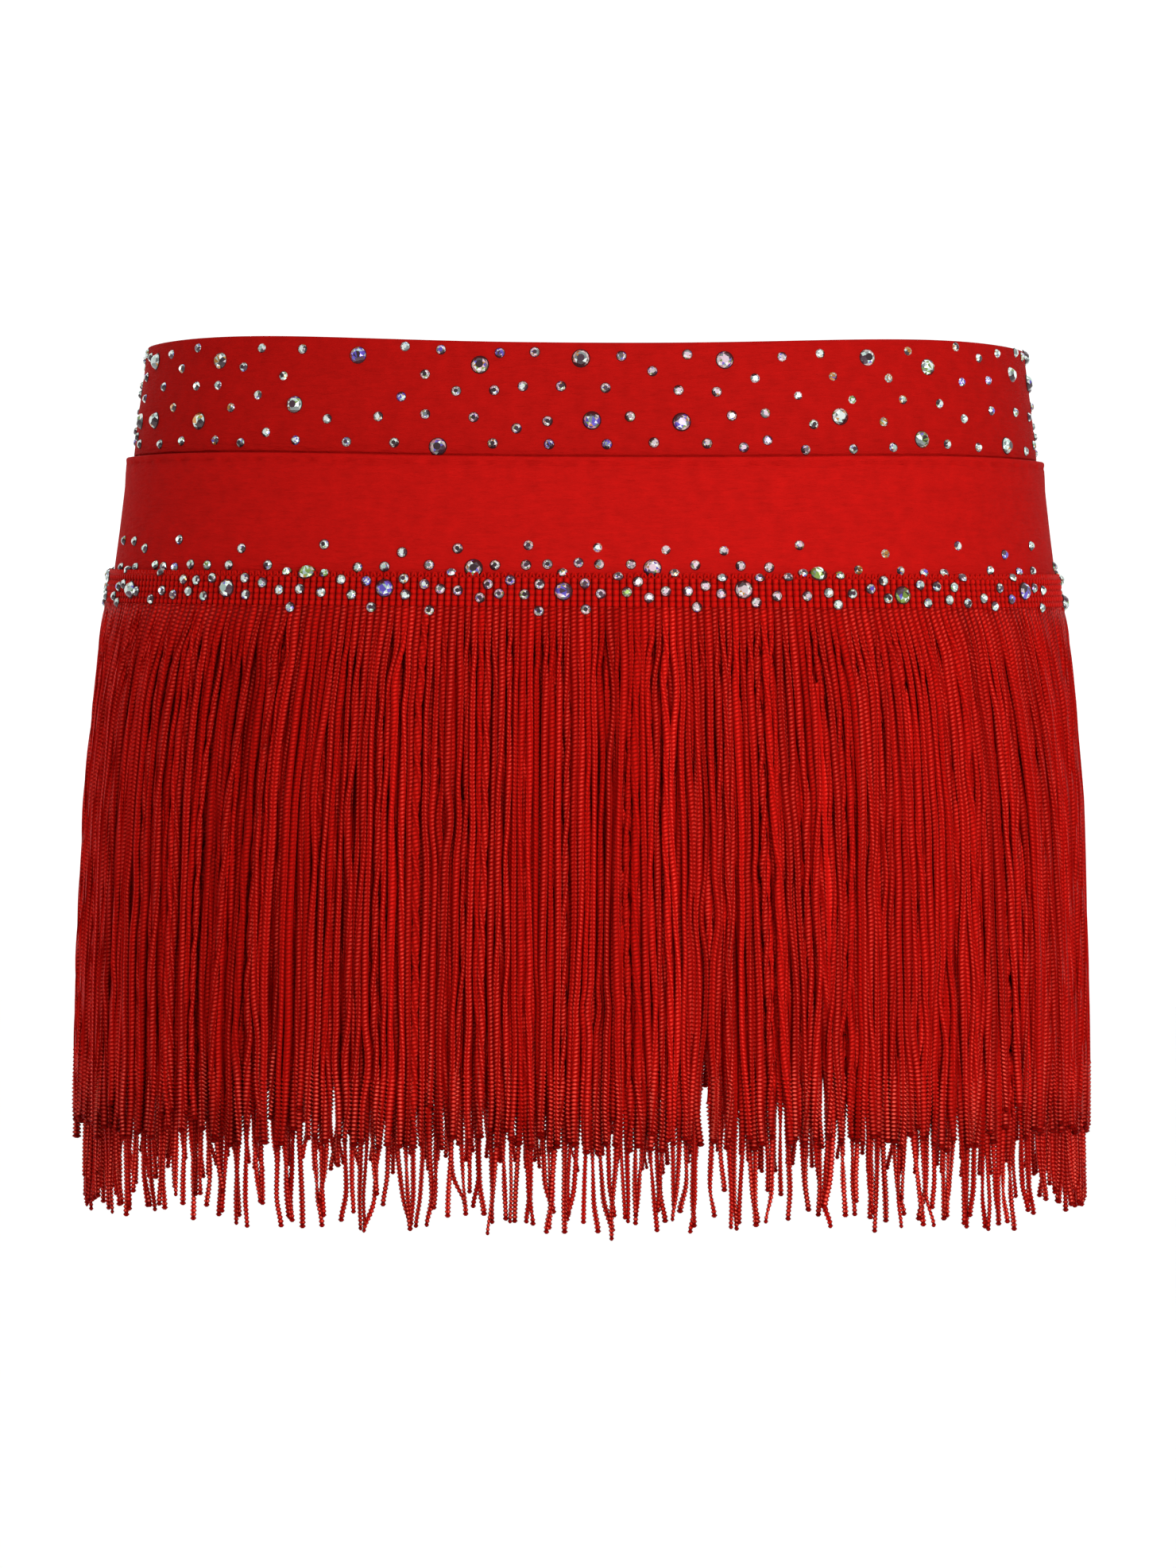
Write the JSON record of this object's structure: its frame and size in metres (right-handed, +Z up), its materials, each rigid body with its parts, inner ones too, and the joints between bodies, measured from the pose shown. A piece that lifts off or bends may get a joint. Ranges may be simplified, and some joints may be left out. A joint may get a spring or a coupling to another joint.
{
  "type": "latin dance skirt",
  "caption": "Short fringed dance skirt, hollow as worn low on the hips: elastic waistband and hip band with two rows of long hanging fringe.",
  "frame": {"origin": "on the wearer's upright axis, level with the middle of the waistband that shows, where the stretch band grips the hips", "axes": "+Z up along the wearer's body, -Y out of the front of the skirt, +X to the right of a viewer who faces the front"},
  "size_m": [0.3711, 0.271, 0.3163],
  "materials": {
    "elastic_band": "matt woven elastic",
    "fringe_cord": "satin rayon chainette",
    "crystal": "cut glass with an iridescent coating"
  },
  "bodies": {
    "root": {"waistband": "elastic_band", "hip_band": "elastic_band", "fringe_outer": "fringe_cord", "fringe_inner": "fringe_cord"}
  },
  "joints": []
}
